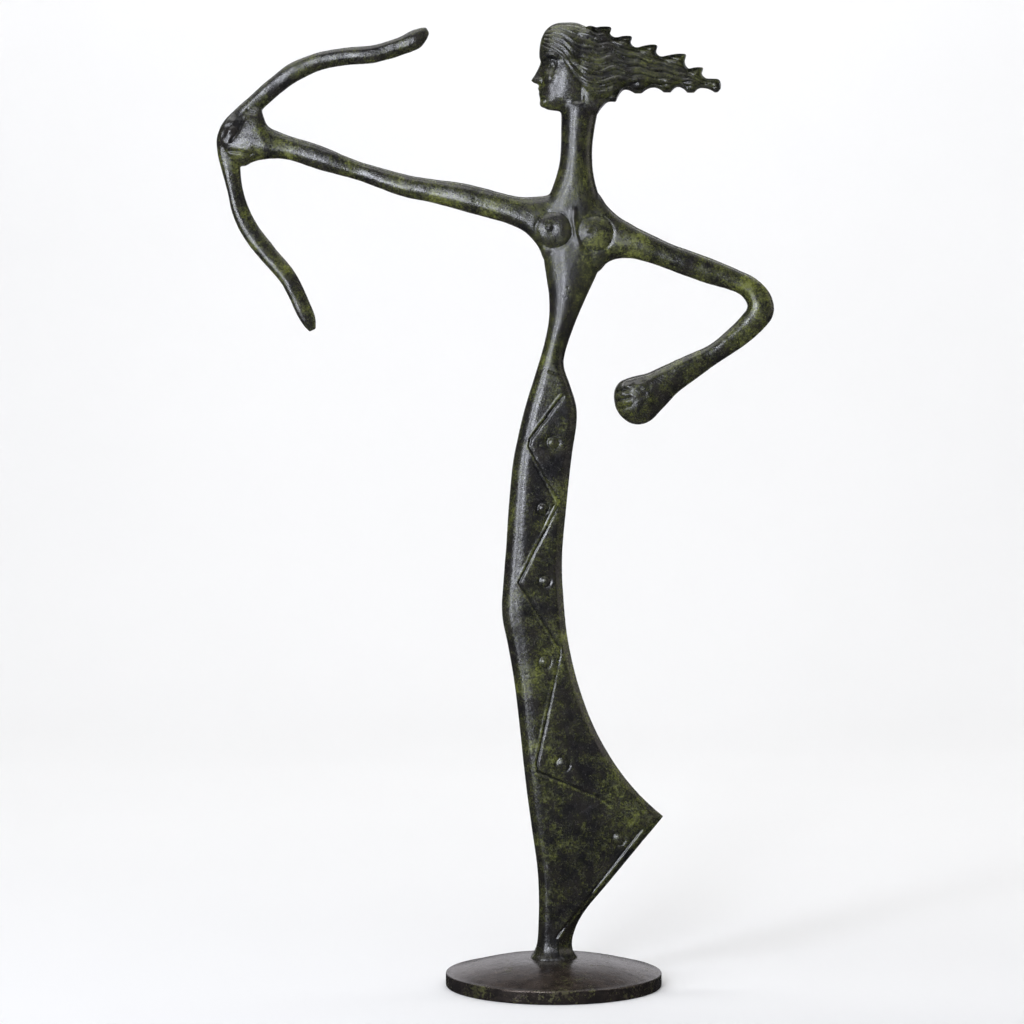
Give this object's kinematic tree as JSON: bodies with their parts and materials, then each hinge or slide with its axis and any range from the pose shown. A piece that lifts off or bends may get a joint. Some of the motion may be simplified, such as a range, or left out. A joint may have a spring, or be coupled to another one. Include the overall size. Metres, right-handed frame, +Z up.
{
  "type": "bronze archer statuette",
  "caption": "Slim flat-cast bronze figure of a woman archer with a long flared skirt, blown hair and a bent bow, on a low domed round base.",
  "frame": {"origin": "middle of the round base's flat underside", "axes": "+Z up, -Y towards the viewer of the figure's carved side, -X the way the figure faces and aims"},
  "size_m": [0.1738, 0.0674, 0.2998],
  "materials": {
    "bronze": "dark brown bronze with an olive green patina, satin",
    "polished_bronze": "dark brown bronze, turned and polished"
  },
  "bodies": {
    "root": {"figure": "bronze", "base": "polished_bronze"}
  },
  "joints": []
}
